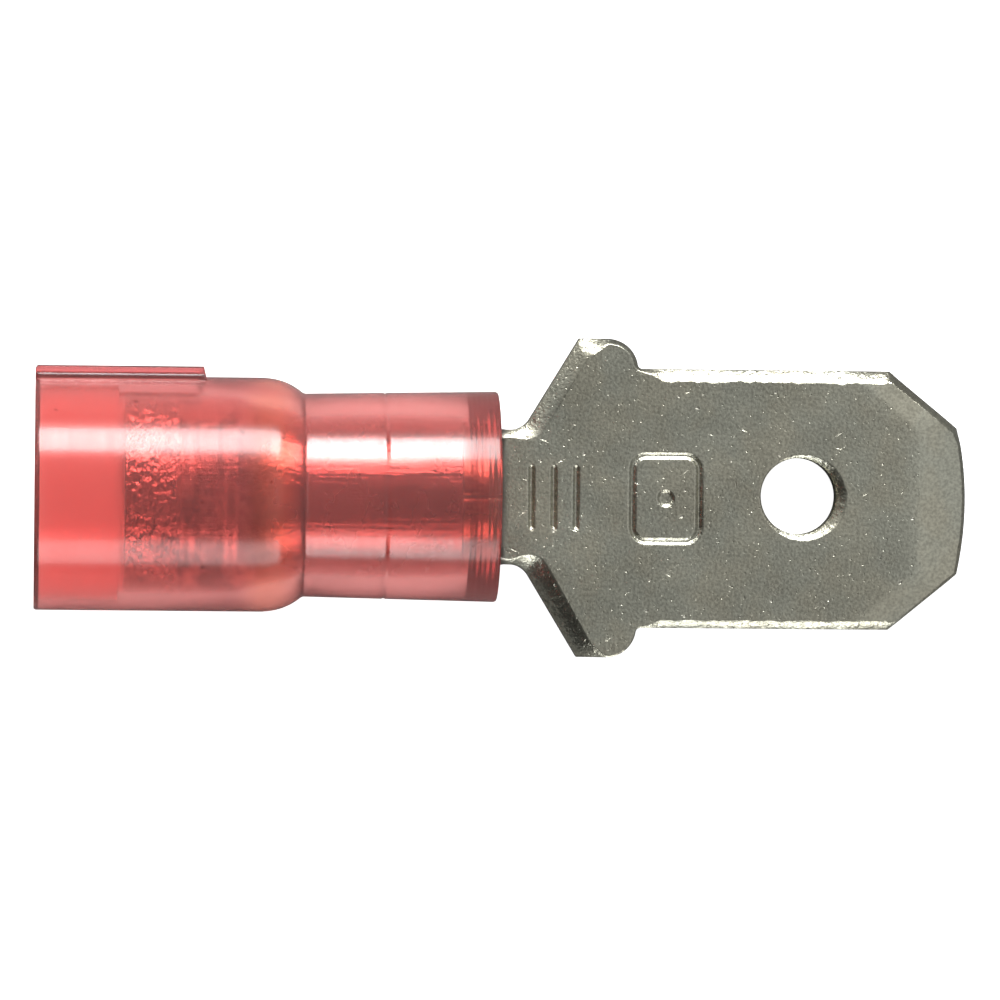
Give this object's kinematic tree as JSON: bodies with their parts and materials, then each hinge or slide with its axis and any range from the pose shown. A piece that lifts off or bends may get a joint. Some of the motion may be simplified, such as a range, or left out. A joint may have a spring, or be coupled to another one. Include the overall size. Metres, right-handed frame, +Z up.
{
  "type": "male spade terminal",
  "caption": "Insulated male spade terminal: flat tab with a detent hole, rolled wire barrel, metal grip sleeve and a clear red nylon housing.",
  "frame": {"origin": "centre of the wire entry, on the axis of the barrel, in the plane of the housing's rear face", "axes": "+X along the wire from its entry to the tip of the tab, +Y across the tab on the side of the housing's rib, +Z up from the tab's rounded face"},
  "size_m": [0.0229, 0.0078, 0.0056],
  "materials": {
    "tinned_sheet": "bright tin plate over brass sheet, lightly pitted",
    "sleeve_metal": "tin plate over drawn brass",
    "red_nylon": "translucent red nylon, smooth"
  },
  "bodies": {
    "root": {"terminal": "tinned_sheet", "grip_sleeve": "sleeve_metal", "housing": "red_nylon"}
  },
  "joints": []
}
